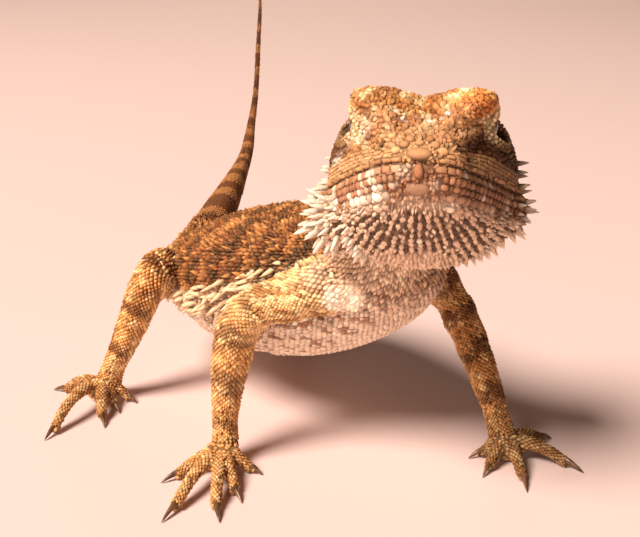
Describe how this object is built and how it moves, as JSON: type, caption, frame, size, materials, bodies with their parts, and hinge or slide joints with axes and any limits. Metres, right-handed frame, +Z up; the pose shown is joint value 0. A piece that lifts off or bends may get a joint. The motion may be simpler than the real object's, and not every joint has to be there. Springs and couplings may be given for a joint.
{
  "type": "young bearded dragon",
  "caption": "Life-size young bearded dragon standing on four spread feet, chest raised, head lifted and turned to its right, long tail curving up behind.",
  "frame": {"origin": "on the floor, under the middle of the bounding box", "axes": "-Y is the way the body faces, +X is the animal's left, +Z is up"},
  "size_m": [0.1185, 0.1682, 0.0611],
  "materials": {
    "crown": "golden tan hide with orange-brown mottling and pebbled scales",
    "throat": "pale pinkish cream hide with keeled, spiny scales",
    "back": "brown hide with tan blotches and small spiny scales",
    "neck": "tan hide, paler below",
    "tail": "brown hide in keeled rings, banded",
    "arm": "tan hide with brown bands and diamond scales",
    "leg": "brown hide with tan blotches",
    "digit": "tan hide in narrow rings",
    "claw": "dark brown horn, smooth and pointed",
    "eye": "wet dark golden brown"
  },
  "bodies": {
    "root": {"head": "crown", "lower_jaw": "throat", "neck": "neck", "torso": "back", "tail_base": "tail", "tail_middle": "tail", "tail_tip": "tail", "eye_left": "eye", "eye_right": "eye", "upper_arm_left": "arm", "forearm_left": "arm", "hand_left": "digit", "hand_claw_left_1": "claw", "hand_claw_left_2": "claw", "hand_claw_left_3": "claw", "hand_claw_left_4": "claw", "hand_claw_left_5": "claw", "thigh_left": "leg", "shin_left": "leg", "foot_left": "digit", "foot_claw_left_1": "claw", "foot_claw_left_2": "claw", "foot_claw_left_3": "claw", "foot_claw_left_4": "claw", "foot_claw_left_5": "claw", "upper_arm_right": "arm", "forearm_right": "arm", "hand_right": "digit", "hand_claw_right_1": "claw", "hand_claw_right_2": "claw", "hand_claw_right_3": "claw", "hand_claw_right_4": "claw", "hand_claw_right_5": "claw", "thigh_right": "leg", "shin_right": "leg", "foot_right": "digit", "foot_claw_right_1": "claw", "foot_claw_right_2": "claw", "foot_claw_right_3": "claw", "foot_claw_right_4": "claw", "foot_claw_right_5": "claw"}
  },
  "joints": []
}
